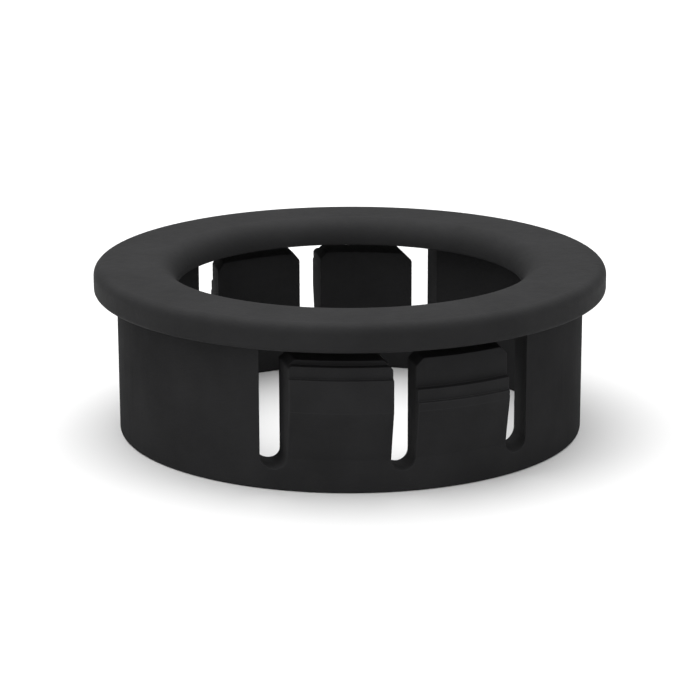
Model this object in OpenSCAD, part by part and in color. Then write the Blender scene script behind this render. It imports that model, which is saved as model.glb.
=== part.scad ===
// Snap-in cable grommet for a round hole in a desk or cabinet panel.
// One nylon moulding, shown as the regions it works by: a flange ring with an inner lip, two stiff
// barrel shells, a closed base ring, and four stepped snap fingers that flex inwards on their roots.
// The fingers stand in a front pair (-Y) and a back pair (+Y), and the slots of a pair are parallel
// to Y. The origin is the middle of the base ring's lower face, and +Z points to the flange.

/* [Panel fit] */
// Diameter of the panel hole that the grommet snaps into
hole_d = 50.8; // [50.6:0.1:52]
// Diametral clearance between the barrel and the panel hole
hole_clearance = 0.46; // [0.2:0.02:0.8]

/* [Flange] */
// Outer diameter of the flange
flange_d = 55.25; // [54.5:0.05:60]
// Thickness of the flange
flange_t = 2.95; // [2.9:0.05:4]
// Diameter of the cable passage through the inner lip
lip_d = 37.3; // [34:0.1:39]
// Radius of the rounding where the top face runs into the cable passage
lip_round = 2.4; // [1:0.05:2.4]
// Radius of the lip's lower edge
lip_edge_round = 0.15; // [0.1:0.05:0.2]
// Radius of the flange's upper outer edge
rim_top_round = 1.05; // [0.5:0.05:1.5]
// Radius of the flange's lower outer edge
rim_bottom_round = 0.55; // [0.2:0.05:1]
// Height by which the underside stands back over the finger windows and inside the barrel
underside_relief = 0.2; // [0.05:0.05:0.2]

/* [Barrel] */
// Height from the base to the underside of the flange
barrel_h = 15.2; // [15:0.1:18]
// Thickness of the barrel wall
wall = 3.55; // [2.5:0.05:4]
// Width of the slots beside and between the fingers
slot_w = 2.5; // [2:0.1:3]
// Height of the closed base band below the slots
band_h = 2.25; // [2:0.05:3.5]

/* [Snap fingers] */
// Width of one finger, measured across the slots
finger_w = 10.15; // [8:0.05:11]
// Gap between the top of a finger and the flange
finger_gap = 1.3; // [1.2:0.05:1.6]
// Chamfer on the two upper corners of a finger
finger_chamfer = 0.8; // [0.5:0.1:1.5]
// Distance of the first ledge below the flange, on the thin-panel finger
first_ledge_drop = 1.8; // [1.7:0.05:2]
// Height from one ledge to the next, and between the two kinds of finger
ledge_pitch = 1.27; // [1:0.01:1.3]
// Radial height of a finger's top above the barrel
crown_step = 0.1; // [0:0.05:0.2]
// Radial width of the upper ledge
upper_ledge_w = 0.8; // [0.4:0.05:1]
// Radial width of the lower ledge
lower_ledge_w = 0.4; // [0.3:0.05:0.8]
// Height of the knee where the lead-in ramp of a finger ends
knee_h = 8.75; // [7:0.05:9]

/* [Hidden] */
$fn = 96;

nylon = [0.035, 0.035, 0.037];
nylon_finger = [0.05, 0.05, 0.053];

barrel_r = (hole_d - hole_clearance) / 2;
bore_r = barrel_r - wall;
flange_r = flange_d / 2;
lip_r = lip_d / 2;
seat_r = flange_r - rim_bottom_round;
total_h = barrel_h + flange_t;

slot_x = slot_w / 2 + finger_w + slot_w / 2;
slot_round = slot_w / 2;
root_z = band_h + slot_round;
finger_inner_x = slot_w / 2;
finger_outer_x = finger_inner_x + finger_w;
shell_x = finger_outer_x + slot_w;
finger_top = barrel_h - finger_gap;

finger_top_r = barrel_r + crown_step;
upper_ledge_r = finger_top_r + upper_ledge_w;
knee_r = upper_ledge_r + lower_ledge_w;
first_ledge_z = barrel_h - first_ledge_drop;

underside_z = barrel_h + underside_relief;

thin_panel = 0;
thick_panel = 2;

// Height of a ledge: step 0 and 1 are a thin-panel finger's, 2 and 3 a thick-panel finger's
function ledge_z(step) = first_ledge_z - step * ledge_pitch;

// Round wall between two radii and two heights
module ring(r_in, r_out, z0, z1) {
    rotate_extrude() translate([r_in, z0]) square([r_out - r_in, z1 - z0]);
}

// The three slot bottoms of both pairs, each a round channel along Y
module slot_bottoms() {
    for (x = [-slot_x, 0, slot_x])
        translate([x, 0, root_z])
            rotate([90, 0, 0])
                cylinder(h = 2 * flange_r, r = slot_round, center = true);
}

// Section of a finger, from its root up to its top, for ledges at steps first and first + 1
module finger_section(first) {
    polygon([
        [bore_r, root_z], [barrel_r, root_z],
        [knee_r, knee_h], [knee_r, ledge_z(first + 1)],
        [upper_ledge_r, ledge_z(first + 1)], [upper_ledge_r, ledge_z(first)],
        [finger_top_r, ledge_z(first)], [finger_top_r, finger_top],
        [bore_r, finger_top]
    ]);
}

// Outline of one finger as seen along its slots
module finger_outline() {
    polygon([
        [finger_inner_x, root_z], [finger_outer_x, root_z],
        [finger_outer_x, finger_top - finger_chamfer],
        [finger_outer_x - finger_chamfer, finger_top],
        [finger_inner_x + finger_chamfer, finger_top],
        [finger_inner_x, finger_top - finger_chamfer]
    ]);
}

// Front right finger with its ledges at the given steps
module finger(first) {
    intersection() {
        rotate_extrude() finger_section(first);
        rotate([90, 0, 0]) linear_extrude(flange_r) finger_outline();
    }
}

// Stiff wall between the finger pairs, on the +X side
module barrel_shell() {
    intersection() {
        ring(bore_r, barrel_r, root_z, underside_z);
        translate([shell_x, -flange_r, 0]) cube([flange_r, 2 * flange_r, underside_z]);
    }
}

// Round edge of the flange's section, of radius r round a centre
module edge_arc(x, z, r) {
    translate([x, z]) circle(r = r);
}

// Section of the flange, from the lip out to the rim
module flange_section() {
    polygon([
        [lip_r + lip_edge_round, underside_z], [barrel_r, underside_z], [barrel_r, barrel_h],
        [seat_r, barrel_h], [flange_r, barrel_h + rim_bottom_round],
        [flange_r, total_h - rim_top_round], [flange_r - rim_top_round, total_h],
        [lip_r + lip_round, total_h], [lip_r, total_h - lip_round],
        [lip_r, underside_z + lip_edge_round]
    ]);
    edge_arc(lip_r + lip_edge_round, underside_z + lip_edge_round, lip_edge_round);
    edge_arc(seat_r, barrel_h + rim_bottom_round, rim_bottom_round);
    edge_arc(flange_r - rim_top_round, total_h - rim_top_round, rim_top_round);
    edge_arc(lip_r + lip_round, total_h - lip_round, lip_round);
}

// Space under the flange: up to a shallow step inside the barrel and, over the finger windows, out
// to the rim, so that the panel seats on the two arcs beside the barrel shells
module underside_space() {
    ring(0, barrel_r, 0, underside_z);
    intersection() {
        ring(0, seat_r, 0, underside_z);
        translate([-shell_x, -flange_r, 0]) cube([2 * shell_x, 2 * flange_r, total_h]);
    }
}

module flange_ring() {
    color(nylon)
        difference() {
            rotate_extrude() flange_section();
            underside_space();
        }
}

module barrel_shell_left() {
    color(nylon) mirror([1, 0, 0]) barrel_shell();
}

module barrel_shell_right() {
    color(nylon) barrel_shell();
}

module base_ring() {
    color(nylon)
        difference() {
            ring(bore_r, barrel_r, 0, root_z);
            slot_bottoms();
        }
}

module snap_finger_front_left() {
    color(nylon_finger) mirror([1, 0, 0]) finger(thin_panel);
}

module snap_finger_front_right() {
    color(nylon_finger) finger(thick_panel);
}

module snap_finger_back_left() {
    color(nylon_finger) rotate([0, 0, 180]) finger(thick_panel);
}

module snap_finger_back_right() {
    color(nylon_finger) rotate([0, 0, 180]) mirror([1, 0, 0]) finger(thin_panel);
}

flange_ring();
barrel_shell_left();
barrel_shell_right();
base_ring();
snap_finger_front_left();
snap_finger_front_right();
snap_finger_back_left();
snap_finger_back_right();
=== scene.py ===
"""Desk grommet: the looks of a snap-in cable grommet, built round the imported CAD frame."""

import math

import bmesh
import bpy
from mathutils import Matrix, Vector


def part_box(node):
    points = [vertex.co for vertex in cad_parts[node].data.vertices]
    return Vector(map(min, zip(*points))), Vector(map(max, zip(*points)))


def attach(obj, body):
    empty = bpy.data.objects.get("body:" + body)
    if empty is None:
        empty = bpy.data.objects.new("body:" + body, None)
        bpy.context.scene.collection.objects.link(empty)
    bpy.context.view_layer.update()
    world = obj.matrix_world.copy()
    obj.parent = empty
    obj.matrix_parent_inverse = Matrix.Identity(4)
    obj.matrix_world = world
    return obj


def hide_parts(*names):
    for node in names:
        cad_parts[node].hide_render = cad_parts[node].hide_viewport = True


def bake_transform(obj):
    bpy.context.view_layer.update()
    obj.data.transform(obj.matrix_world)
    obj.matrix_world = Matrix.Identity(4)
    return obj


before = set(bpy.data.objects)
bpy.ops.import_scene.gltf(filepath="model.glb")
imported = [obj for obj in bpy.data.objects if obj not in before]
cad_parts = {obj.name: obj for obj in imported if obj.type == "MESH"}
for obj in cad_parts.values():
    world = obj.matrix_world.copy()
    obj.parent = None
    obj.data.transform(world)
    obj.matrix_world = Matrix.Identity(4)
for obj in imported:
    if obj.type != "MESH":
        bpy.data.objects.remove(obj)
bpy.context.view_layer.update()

# ---------------------------------------------------------------------------
# Sizes, in millimetres: the outer ones come from the frame, the rest are the moulding's own
# ---------------------------------------------------------------------------

MM = 0.001

flange_low, flange_high = (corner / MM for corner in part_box("flange_ring"))
shell_low, _ = (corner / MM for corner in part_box("barrel_shell_right"))
_, base_high = (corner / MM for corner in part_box("base_ring"))
finger_low, finger_high = (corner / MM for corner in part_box("snap_finger_front_right"))

FLANGE_R = flange_high.x
TOP_Z = flange_high.z
SEAT_Z = flange_low.z
ROOT_Z = base_high.z
SHELL_X = shell_low.x
FINGER_X0 = finger_low.x
FINGER_W = finger_high.x - FINGER_X0
FINGER_TOP = finger_high.z

BARREL_R = 25.17
WALL = 3.55
BORE_R = BARREL_R - WALL
SLOT_R = FINGER_X0
SLOT_X = SHELL_X - SLOT_R

LIP_R = 18.65
LIP_ROUND = 2.4
LIP_EDGE_ROUND = 0.15
UNDERSIDE_RELIEF = 0.2
LIP_Z = SEAT_Z + UNDERSIDE_RELIEF
RIM_TOP_ROUND = 1.05
RIM_BOTTOM_ROUND = 0.55

CROWN_STEP = 0.1
UPPER_LEDGE_W = 0.8
LOWER_LEDGE_W = 0.4
FINGER_TOP_R = BARREL_R + CROWN_STEP
UPPER_LEDGE_R = FINGER_TOP_R + UPPER_LEDGE_W
KNEE_R = UPPER_LEDGE_R + LOWER_LEDGE_W
KNEE_Z = 8.75
FIRST_LEDGE_DROP = 1.8
FIRST_LEDGE_Z = SEAT_Z - FIRST_LEDGE_DROP
LEDGE_PITCH = 1.27
FINGER_CHAMFER = 0.8
CHAMFER_TURN = math.pi / 4

EDGE_ROUND = 0.1
BASE_EDGE_ROUND = 0.25
LEDGE_ROUND = 0.11
KNEE_ROUND = 3 * LEDGE_ROUND
INNER_TOP_ROUND = 2 * LEDGE_ROUND
CHAMFER_ROUND = 0.5

# Where a corner's chamfer cuts into the upper ledge, the step above it keeps this height, and each
# rounding of the step is at most the step's height divided by this
LEAST_STEP = 0.02
STEP_PER_ROUND = 2.1

# How finely the surfaces are cut up
EDGE_STEPS = 4
FILLET_STEPS = 12
LATHE_STEPS = 256
SLOT_STEPS = 10
COLUMN_STEP = 0.55
RAMP_STEPS = 10
CHAMFER_STEPS = 4
SHARP_ANGLE = math.radians(40)

# Columns over the rounding where a finger's chamfer meets its top, in radii of that rounding from
# the chamfer's end, then the first plain column's distance from there and the narrowest column
CHAMFER_COLUMNS = (-0.29, -0.13, 0.03, 0.2, 0.42)
PLAIN_COLUMN_START = 0.6
NARROWEST_COLUMN = 0.1

# Points closer than this are one point, in a finished mesh and in a flat layout
WELD = 1e-4
FINE_WELD = 1e-5

# ---------------------------------------------------------------------------
# Mesh helpers
# ---------------------------------------------------------------------------


def rounded_outline(corners):
    """Points round a closed outline. Each corner is (x, y, radius, steps, straight points after it),
    and a corner with no steps stays sharp. Returns (x, y, edge), with edge 1 inside a rounding and 0
    elsewhere."""
    points = []
    count = len(corners)
    for i, (x, y, radius, steps, straight) in enumerate(corners):
        here = Vector((x, y))
        before = Vector(corners[i - 1][:2])
        after = Vector(corners[(i + 1) % count][:2])
        into = (here - before).normalized()
        out = (after - here).normalized()
        turn = math.atan2(into.cross(out), into.dot(out))
        reach = radius * math.tan(abs(turn) / 2)
        side = math.copysign(1, turn)
        start = here - into * reach
        centre = start + Vector((-into.y, into.x)) * radius * side
        if steps == 0:
            points.append((x, y, 0.0))
            end = here
        else:
            for k in range(steps + 1):
                angle = turn * k / steps
                arm = start - centre
                swung = Vector((
                    arm.x * math.cos(angle) - arm.y * math.sin(angle),
                    arm.x * math.sin(angle) + arm.y * math.cos(angle),
                ))
                edge = 1.0 if 0 < k < steps else 0.0
                points.append((centre.x + swung.x, centre.y + swung.y, edge))
            end = here + out * reach
        for k in range(straight):
            share = (k + 1) / (straight + 1)
            next_radius = corners[(i + 1) % count][2]
            stop = after - out * next_radius
            along = end.lerp(stop, share)
            points.append((along.x, along.y, 0.0))
    return points


def edge_ladder(radius):
    """Steps over a rounded edge as (distance from the side, depth below the surface, edge value)."""
    ladder = []
    for k in range(EDGE_STEPS + 1):
        angle = math.pi / 2 * k / EDGE_STEPS
        edge = 1.0 if k < EDGE_STEPS else 0.0
        ladder.append((radius * (1 - math.cos(angle)), radius * (1 - math.sin(angle)), edge))
    return ladder


def finish_mesh(name, bm):
    """Welds a bmesh, turns its faces outwards and makes it a smooth-shaded object in metres."""
    bmesh.ops.remove_doubles(bm, verts=bm.verts, dist=WELD)
    bmesh.ops.dissolve_degenerate(bm, edges=bm.edges, dist=FINE_WELD)
    bmesh.ops.recalc_face_normals(bm, faces=bm.faces)
    bmesh.ops.scale(bm, vec=(MM, MM, MM), verts=bm.verts)
    for face in bm.faces:
        face.smooth = True
    for crease in bm.edges:
        crease.smooth = crease.calc_face_angle(0) < SHARP_ANGLE
    mesh = bpy.data.meshes.new(name)
    bm.to_mesh(mesh)
    bm.free()
    obj = bpy.data.objects.new(name, mesh)
    bpy.context.scene.collection.objects.link(obj)
    weighted = obj.modifiers.new("flat faces stay flat", "WEIGHTED_NORMAL")
    weighted.mode = "FACE_AREA"
    weighted.keep_sharp = True
    return obj


def loft(rings, closed_along, caps):
    """bmesh of quads between rings of (x, y, z, edge) points. Each ring is a closed loop, and caps,
    if given, closes the first and the last of them."""
    bm = bmesh.new()
    layer = bm.verts.layers.float.new("edge")
    rows = []
    for ring in rings:
        row = []
        for x, y, z, edge in ring:
            vert = bm.verts.new((x, y, z))
            vert[layer] = edge
            row.append(vert)
        rows.append(row)
    size = len(rows[0])
    for i in range(len(rows) - (0 if closed_along else 1)):
        a, b = rows[i], rows[(i + 1) % len(rows)]
        for j in range(size):
            k = (j + 1) % size
            bm.faces.new((a[j], a[k], b[k], b[j]))
    if caps:
        caps(bm, rows[0])
        caps(bm, rows[-1])
    return bm


# ---------------------------------------------------------------------------
# The flange: one turned profile
# ---------------------------------------------------------------------------


def flange_ring():
    """The flange with its rounded inner lip, turned round the Z axis."""
    profile = rounded_outline([
        (LIP_R, LIP_Z, LIP_EDGE_ROUND, FILLET_STEPS // 2, 0),
        (BORE_R, LIP_Z, 0, 0, 0),
        (BORE_R, SEAT_Z, 0, 0, 0),
        (FLANGE_R, SEAT_Z, RIM_BOTTOM_ROUND, FILLET_STEPS // 2, 0),
        (FLANGE_R, TOP_Z, RIM_TOP_ROUND, FILLET_STEPS, 0),
        (LIP_R, TOP_Z, LIP_ROUND, 2 * FILLET_STEPS, 0),
    ])
    rings = []
    for k in range(LATHE_STEPS):
        angle = 2 * math.pi * k / LATHE_STEPS
        rings.append([(r * math.cos(angle), r * math.sin(angle), z, 0.0) for r, z, _ in profile])
    return finish_mesh("flange_moulding", loft(rings, closed_along=True, caps=None))


# ---------------------------------------------------------------------------
# The barrel wall, laid out flat: s runs along the wall from the middle of the front, z is height
# ---------------------------------------------------------------------------

SIDE_LENGTH = BARREL_R * (math.pi / 2 - math.asin(SHELL_X / BARREL_R))
END_S = SHELL_X + SIDE_LENGTH


def wall_point(s, r, z, turned):
    """Where a point of the laid-out wall goes at radius r. Slots run straight back, so in the finger
    windows s is x; beyond them it turns into an angle, and END_S is on the X axis. The back half of
    the wall is the front half turned by 180 degrees."""
    x = min(abs(s), SHELL_X)
    angle = math.asin(x / r)
    angle += (math.pi / 2 - angle) * max(0.0, abs(s) - SHELL_X) / SIDE_LENGTH
    side = math.copysign(1, s)
    flip = -1 if turned else 1
    return Vector((flip * side * r * math.sin(angle), -flip * r * math.cos(angle), z))


def flat_face(bm, layers, points):
    """Face of the laid-out wall from (s, z, depth, edge) points."""
    verts = []
    for s, z, depth, edge in points:
        vert = bm.verts.new((s, 0, z))
        vert[layers["depth"]] = depth
        vert[layers["edge"]] = edge
        verts.append(vert)
    bm.faces.new(verts)


def flat_wall():
    """Empty layout, with layers for how deep each point lies below the skin and for its edge value."""
    bm = bmesh.new()
    layers = {name: bm.verts.layers.float.new(name) for name in ("depth", "edge")}
    return bm, layers


def cut_columns(bm, first, last):
    """Cuts the layout into upright strips narrow enough to bend round the barrel."""
    bmesh.ops.remove_doubles(bm, verts=bm.verts, dist=FINE_WELD)
    count = round(abs(last - first) / COLUMN_STEP)
    for k in range(1, count):
        s = first + (last - first) * k / count
        bmesh.ops.bisect_plane(
            bm, geom=bm.verts[:] + bm.edges[:] + bm.faces[:], dist=FINE_WELD,
            plane_co=(s, 0, 0), plane_no=(1, 0, 0),
        )


def bend_wall(target, target_edge, flat, layers, turned):
    """Adds the layout to target as a wall with an outer and an inner skin. The skins are joined round
    the layout's outline, but not where it meets the other half of the barrel."""
    ends = (-END_S, END_S)
    skins = []
    for outside in (True, False):
        skin = {}
        for vert in flat.verts:
            s, _, z = vert.co
            depth = vert[layers["depth"]]
            r = BARREL_R - depth if outside else BORE_R + depth
            made = target.verts.new(wall_point(s, r, z, turned))
            made[target_edge] = vert[layers["edge"]]
            skin[vert] = made
        for face in flat.faces:
            target.faces.new([skin[vert] for vert in face.verts])
        skins.append(skin)
    outer, inner = skins
    for rim in flat.edges:
        a, b = rim.verts
        on_end = any(abs(a.co.x - end) < WELD and abs(b.co.x - end) < WELD for end in ends)
        if rim.is_boundary and not on_end:
            target.faces.new((outer[a], outer[b], inner[b], inner[a]))


def slot_arc(centre, radius, side):
    """Points down one side of a slot's round bottom, from its top to its lowest point."""
    points = []
    for k in range(SLOT_STEPS + 1):
        angle = math.pi / 2 * k / SLOT_STEPS
        points.append((centre + side * radius * math.cos(angle), ROOT_Z - radius * math.sin(angle)))
    return points


def slot_edges(flat, layers, centre):
    """Rounded edges down both sides of a slot's round bottom."""
    ladder = edge_ladder(EDGE_ROUND)
    for side in (-1, 1):
        for near, far in zip(ladder, ladder[1:]):
            near_arc = slot_arc(centre, SLOT_R + near[0], side)
            far_arc = slot_arc(centre, SLOT_R + far[0], side)
            for k in range(SLOT_STEPS):
                flat_face(flat, layers, [
                    (*near_arc[k], *near[1:]), (*near_arc[k + 1], *near[1:]),
                    (*far_arc[k + 1], *far[1:]), (*far_arc[k], *far[1:]),
                ])


def base_ring():
    """Closed band at the foot, with the round bottoms of the three slots in front and behind."""
    slots = (-SLOT_X, 0, SLOT_X)
    flat, layers = flat_wall()
    for centre in slots:
        slot_edges(flat, layers, centre)

    # Stubs between the slots, in level strips
    stub_r = SLOT_R + EDGE_ROUND
    levels = [z for _, z in slot_arc(0, stub_r, 1)]
    lefts = [[(-END_S, z) for z in levels]] + [slot_arc(centre, stub_r, 1) for centre in slots]
    rights = [slot_arc(centre, stub_r, -1) for centre in slots] + [[(END_S, z) for z in levels]]
    for left, right in zip(lefts, rights):
        for k in range(SLOT_STEPS):
            corners = (left[k], right[k], right[k + 1], left[k + 1])
            flat_face(flat, layers, [(*corner, 0.0, 0.0) for corner in corners])

    # The closed band below them, from its rounded lower edge up
    ladder = [*edge_ladder(BASE_EDGE_ROUND), (levels[-1], 0.0, 0.0)]
    stations = (-END_S, *slots, END_S)
    for low, high in zip(ladder, ladder[1:]):
        for a, b in zip(stations, stations[1:]):
            flat_face(flat, layers, [(a, *low), (b, *low), (b, *high), (a, *high)])
    cut_columns(flat, -END_S, END_S)

    bm = bmesh.new()
    edge = bm.verts.layers.float.new("edge")
    for turned in (False, True):
        bend_wall(bm, edge, flat, layers, turned)
    flat.free()
    return finish_mesh("base_ring_moulding", bm)


def barrel_shell(name, side):
    """Wall between the finger pairs, from the base ring to the flange. side is -1 for the left one
    and 1 for the right one."""
    bm = bmesh.new()
    edge = bm.verts.layers.float.new("edge")
    for turned in (False, True):
        sign = -side if turned else side
        flat, layers = flat_wall()
        ladder = [*edge_ladder(EDGE_ROUND), (SIDE_LENGTH, 0.0, 0.0)]
        for near, far in zip(ladder, ladder[1:]):
            a, b = sign * (SHELL_X + near[0]), sign * (SHELL_X + far[0])
            flat_face(flat, layers, [
                (a, ROOT_Z, *near[1:]), (b, ROOT_Z, *far[1:]),
                (b, SEAT_Z, *far[1:]), (a, SEAT_Z, *near[1:]),
            ])
        cut_columns(flat, sign * (SHELL_X + EDGE_ROUND), sign * END_S)
        bend_wall(bm, edge, flat, layers, turned)
        flat.free()
    return finish_mesh(name, bm)


# ---------------------------------------------------------------------------
# The snap fingers: the side outline, with its ledges, drawn through the finger's width
# ---------------------------------------------------------------------------

# Which ledge, counted down from the flange, is the upper one of each kind of finger
THIN_PANEL = 0
THICK_PANEL = 2


def corner_drop(u):
    """How far the chamfered corner lies below the finger's top at distance u from its side."""
    reach = CHAMFER_ROUND * math.tan(CHAMFER_TURN / 2)
    if u >= FINGER_CHAMFER + reach:
        return 0.0
    if u <= FINGER_CHAMFER - reach / math.sqrt(2):
        return FINGER_CHAMFER - u
    run = FINGER_CHAMFER + reach - u
    return CHAMFER_ROUND - math.sqrt(CHAMFER_ROUND ** 2 - run ** 2)


def finger_outline(first_ledge, top_z, depth):
    """Side outline at one place across the finger, drawn in by depth, as (radius, z, edge) points."""
    upper_z = FIRST_LEDGE_Z - first_ledge * LEDGE_PITCH
    lower_z = upper_z - LEDGE_PITCH
    upper_z = min(upper_z, top_z - LEAST_STEP)
    step_round = min(LEDGE_ROUND, (top_z - upper_z) / STEP_PER_ROUND)
    inside, root_r = BORE_R + depth, BARREL_R - depth
    crown, middle, knee = FINGER_TOP_R - depth, UPPER_LEDGE_R - depth, KNEE_R - depth
    return rounded_outline([
        (inside, ROOT_Z, 0, 0, 0),
        (root_r, ROOT_Z, 0, 0, RAMP_STEPS),
        (knee, KNEE_Z, KNEE_ROUND, EDGE_STEPS, 0),
        (knee, lower_z - depth, LEDGE_ROUND, EDGE_STEPS, 0),
        (middle, lower_z - depth, LEDGE_ROUND, EDGE_STEPS, 0),
        (middle, upper_z - depth, LEDGE_ROUND, EDGE_STEPS, 0),
        (crown, upper_z - depth, step_round, EDGE_STEPS, 0),
        (crown, top_z - depth, step_round, EDGE_STEPS, 0),
        (inside, top_z - depth, INNER_TOP_ROUND, EDGE_STEPS, RAMP_STEPS),
    ])


def finger_columns():
    """Places across the finger as (distance from the near side, depth), from one side to the other."""
    half = FINGER_W / 2
    near = [(u, depth) for u, depth, _ in edge_ladder(EDGE_ROUND)]
    corner = [FINGER_CHAMFER * k / CHAMFER_STEPS for k in range(1, CHAMFER_STEPS)]
    corner += [FINGER_CHAMFER + CHAMFER_ROUND * radii for radii in CHAMFER_COLUMNS]
    middle = []
    u = FINGER_CHAMFER + PLAIN_COLUMN_START
    while u < half - NARROWEST_COLUMN:
        middle.append(u)
        u += COLUMN_STEP
    one_side = near + [(u, 0.0) for u in corner + middle]
    other_side = [(2 * half - u, depth) for u, depth in reversed(one_side)]
    return one_side + [(half, 0.0)] + other_side


def finger_cap(bm, ring):
    """Closes a finger's side: strips from the root up to the knee, for the bend at the root, and one
    face for the rest."""
    size = len(ring)
    ramp = ring[1:2 + RAMP_STEPS]
    back = [ring[0]] + ring[size - RAMP_STEPS:][::-1]
    for k in range(RAMP_STEPS):
        bm.faces.new((ramp[k], ramp[k + 1], back[k + 1], back[k]))
    bm.faces.new(ring[1 + RAMP_STEPS:size - RAMP_STEPS + 1])


def snap_finger(name, first_ledge, side, turned):
    """One finger. side is -1 for the left and 1 for the right of its pair, seen from outside the
    barrel, and turned puts it in the back pair."""
    rings = []
    for u, depth in finger_columns():
        top_z = FINGER_TOP - corner_drop(min(u, FINGER_W - u))
        ring = []
        for r, z, edge in finger_outline(first_ledge, top_z, depth):
            point = wall_point(side * (FINGER_X0 + u), r, z, turned)
            # The edge value also marks where the colour is painted paler, as wear and as a painted
            # highlight
            ring.append((*point, max(edge, 1.0 if depth > 0 else 0.0)))
        rings.append(ring)
    return finish_mesh(name, loft(rings, closed_along=False, caps=finger_cap))


# ---------------------------------------------------------------------------
# Materials
# ---------------------------------------------------------------------------


BLUE_SHARE = 1.03
DARKER = 0.88
PALER = 1.12
# Edges painted paler: partly rubbing wear, partly a painted highlight where the rounded edges catch the
# light
EDGE_WEAR_AND_HIGHLIGHT = 1.4
EDGE_WEAR_AND_HIGHLIGHT_SHARE = 0.6
CLOUD_START = 0.3
CLOUD_END = 0.7
SMOOTHEST = 0.64
ROUGHEST = 0.78
BUMP_STRENGTH = 0.5
BUMP_DISTANCE = 0.00006

# Scale and detail of each noise: the uneven tone, the streaks and the mould grain
CLOUD = (160, 4)
STREAK = (900, 3)
GRAIN = (5200, 2)


def black(value):
    """A nearly neutral black of the nylon, very slightly cool."""
    return (value, value, BLUE_SHARE * value, 1)


def nylon(name, tone, gloss, streak_stretch):
    """Matte black nylon: a faint uneven tone, streaks and mould grain, and edges painted a little paler,
    partly as rubbing wear and partly as a painted highlight. A streak_stretch below 1 draws the streaks
    out along the barrel's axis."""
    material = bpy.data.materials.new(name)
    material.use_nodes = True
    nodes, links = material.node_tree.nodes, material.node_tree.links
    shader = nodes["Principled BSDF"]
    shader.inputs["Specular IOR Level"].default_value = gloss

    place = nodes.new("ShaderNodeTexCoord")
    stretch = nodes.new("ShaderNodeMapping")
    stretch.inputs["Scale"].default_value = (1, 1, streak_stretch)
    links.new(place.outputs["Object"], stretch.inputs["Vector"])

    def noise(scale, detail, vector):
        node = nodes.new("ShaderNodeTexNoise")
        node.inputs["Scale"].default_value = scale
        node.inputs["Detail"].default_value = detail
        links.new(vector, node.inputs["Vector"])
        return node.outputs["Fac"]

    cloud = noise(*CLOUD, place.outputs["Object"])
    streak = noise(*STREAK, stretch.outputs["Vector"])
    grain = noise(*GRAIN, place.outputs["Object"])

    # Painted highlight mixed with rubbing wear: the edge attribute lightens the colour over the rounded
    # edges
    edge_wear_and_highlight_mask = nodes.new("ShaderNodeAttribute")
    edge_wear_and_highlight_mask.attribute_name = "edge"

    cloudy = nodes.new("ShaderNodeValToRGB")
    cloudy.color_ramp.elements[0].position = CLOUD_START
    cloudy.color_ramp.elements[0].color = black(DARKER * tone)
    cloudy.color_ramp.elements[1].position = CLOUD_END
    cloudy.color_ramp.elements[1].color = black(PALER * tone)
    links.new(cloud, cloudy.inputs["Fac"])

    edge_wear_and_highlight = nodes.new("ShaderNodeMixRGB")
    edge_wear_and_highlight.inputs["Color2"].default_value = black(EDGE_WEAR_AND_HIGHLIGHT * tone)
    edge_wear_and_highlight_share = nodes.new("ShaderNodeMath")
    edge_wear_and_highlight_share.operation = "MULTIPLY"
    edge_wear_and_highlight_share.inputs[1].default_value = EDGE_WEAR_AND_HIGHLIGHT_SHARE
    links.new(edge_wear_and_highlight_mask.outputs["Fac"], edge_wear_and_highlight_share.inputs[0])
    links.new(edge_wear_and_highlight_share.outputs[0], edge_wear_and_highlight.inputs["Fac"])
    links.new(cloudy.outputs["Color"], edge_wear_and_highlight.inputs["Color1"])
    links.new(edge_wear_and_highlight.outputs["Color"], shader.inputs["Base Color"])

    rough = nodes.new("ShaderNodeMapRange")
    rough.inputs["To Min"].default_value = SMOOTHEST
    rough.inputs["To Max"].default_value = ROUGHEST
    links.new(streak, rough.inputs["Value"])
    links.new(rough.outputs["Result"], shader.inputs["Roughness"])

    height = nodes.new("ShaderNodeMath")
    height.operation = "ADD"
    links.new(grain, height.inputs[0])
    links.new(streak, height.inputs[1])
    bump = nodes.new("ShaderNodeBump")
    bump.inputs["Strength"].default_value = BUMP_STRENGTH
    bump.inputs["Distance"].default_value = BUMP_DISTANCE
    links.new(height.outputs[0], bump.inputs["Height"])
    links.new(bump.outputs["Normal"], shader.inputs["Normal"])
    return material


def plain(name, colour, roughness):
    """Even matte material for the floor."""
    material = bpy.data.materials.new(name)
    material.use_nodes = True
    shader = material.node_tree.nodes["Principled BSDF"]
    shader.inputs["Base Color"].default_value = (*colour, 1)
    shader.inputs["Roughness"].default_value = roughness
    return material


# ---------------------------------------------------------------------------
# The pieces: the fixed ones on the grommet body, the fingers in place of their CAD nodes
# ---------------------------------------------------------------------------

satin = nylon("satin nylon", tone=0.0165, gloss=0.08, streak_stretch=1)
drawn = nylon("drawn nylon", tone=0.0193, gloss=0.01, streak_stretch=0.15)


def place(piece, material, node):
    """Gives a fixed piece its material and lets it stand for its CAD node."""
    piece.data.materials.append(material)
    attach(piece, "grommet_body")
    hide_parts(node)


place(flange_ring(), satin, "flange_ring")
place(base_ring(), drawn, "base_ring")
for side_name, side in (("left", -1), ("right", 1)):
    place(barrel_shell(f"barrel_{side_name}_moulding", side), drawn, f"barrel_shell_{side_name}")

FINGERS = {
    "snap_finger_front_left": (THIN_PANEL, -1, False),
    "snap_finger_front_right": (THICK_PANEL, 1, False),
    "snap_finger_back_left": (THICK_PANEL, 1, True),
    "snap_finger_back_right": (THIN_PANEL, -1, True),
}
for node, (first_ledge, side, turned) in FINGERS.items():
    finger = snap_finger(f"{node}_moulding", first_ledge, side, turned)
    finger.data.materials.append(drawn)
    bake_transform(finger)
    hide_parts(node)

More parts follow.
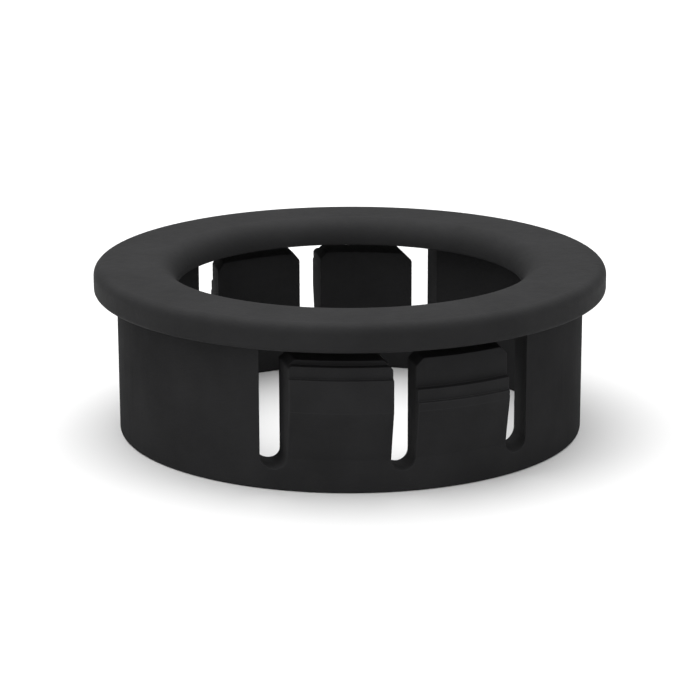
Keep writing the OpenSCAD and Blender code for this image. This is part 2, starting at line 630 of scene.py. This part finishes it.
# ---------------------------------------------------------------------------
# Stage: pale floor, soft light, and a low camera a little left of the front
# ---------------------------------------------------------------------------

FLOOR_SIZE = 6.0
FLOOR_GAP = 0.00002
FLOOR_COLOUR = (0.65, 0.65, 0.65)
FLOOR_ROUGHNESS = 0.9

CAMERA_AZIMUTH = -12.3
CAMERA_ELEVATION = 15.61
CAMERA_DISTANCE = 0.2840
CAMERA_LENS = 133.8
CAMERA_SENSOR = 36
CAMERA_NEAR = 0.01
CAMERA_ROLL = math.radians(-0.12)
ORBIT_HEIGHT = 0.00764
LOOK_HEIGHT = 0.00801


def pale_floor():
    """Square floor, just below the grommet so that their faces don't coincide."""
    half = FLOOR_SIZE / 2
    mesh = bpy.data.meshes.new("floor")
    mesh.from_pydata(
        [(-half, -half, 0), (half, -half, 0), (half, half, 0), (-half, half, 0)],
        [], [(0, 1, 2, 3)],
    )
    obj = bpy.data.objects.new("floor", mesh)
    obj.location.z = -FLOOR_GAP
    obj.data.materials.append(plain("pale floor", FLOOR_COLOUR, FLOOR_ROUGHNESS))
    bpy.context.scene.collection.objects.link(obj)
    return obj


def studio(front, back):
    """World light of an even white that fades from the front, towards -Y, to the back."""
    world = bpy.data.worlds.new("studio")
    world.use_nodes = True
    nodes, links = world.node_tree.nodes, world.node_tree.links
    direction = nodes.new("ShaderNodeTexCoord")
    split = nodes.new("ShaderNodeSeparateXYZ")
    fade = nodes.new("ShaderNodeMapRange")
    fade.inputs["From Min"].default_value = -1
    fade.inputs["To Min"].default_value = front
    fade.inputs["To Max"].default_value = back
    links.new(direction.outputs["Generated"], split.inputs["Vector"])
    links.new(split.outputs["Y"], fade.inputs["Value"])
    links.new(fade.outputs["Result"], nodes["Background"].inputs["Strength"])
    nodes["Background"].inputs["Color"].default_value = (1, 1, 1, 1)
    return world


def orbit(target, azimuth, elevation, distance):
    """Point at a distance from target. Azimuth 0 is in front, towards -Y, and 90 is towards +X."""
    a, e = math.radians(azimuth), math.radians(elevation)
    return target + distance * Vector((math.sin(a) * math.cos(e), -math.cos(a) * math.cos(e), math.sin(e)))


def aim(obj, place, at):
    """Puts a light or camera at place, facing at."""
    obj.location = place
    obj.rotation_euler = (place - at).to_track_quat("Z", "Y").to_euler()


def softbox(name, azimuth, elevation, distance, size, power):
    """Square lamp aimed at the middle of the grommet, with metres for distance and size."""
    light = bpy.data.lights.new(name, "AREA")
    light.shape = "SQUARE"
    light.size = size
    light.energy = power
    obj = bpy.data.objects.new(name, light)
    bpy.context.scene.collection.objects.link(obj)
    centre = Vector((0, 0, TOP_Z / 2 * MM))
    aim(obj, orbit(centre, azimuth, elevation, distance), centre)


bpy.context.scene.view_settings.view_transform = "Standard"

floor = pale_floor()

bpy.context.scene.world = studio(front=1.0, back=0.35)
softbox("overhead", azimuth=180, elevation=78, distance=1.2, size=1.6, power=27)
softbox("key left", azimuth=-85, elevation=45, distance=0.9, size=0.5, power=1.6)

camera = bpy.data.objects.new("camera", bpy.data.cameras.new("camera"))
camera.data.lens = CAMERA_LENS
camera.data.sensor_width = CAMERA_SENSOR
camera.data.clip_start = CAMERA_NEAR
bpy.context.scene.collection.objects.link(camera)
orbit_centre = Vector((0, 0, ORBIT_HEIGHT))
look_at = Vector((0, 0, LOOK_HEIGHT))
aim(camera, orbit(orbit_centre, CAMERA_AZIMUTH, CAMERA_ELEVATION, CAMERA_DISTANCE), look_at)
camera.rotation_euler.rotate_axis("Z", CAMERA_ROLL)
bpy.context.scene.camera = camera
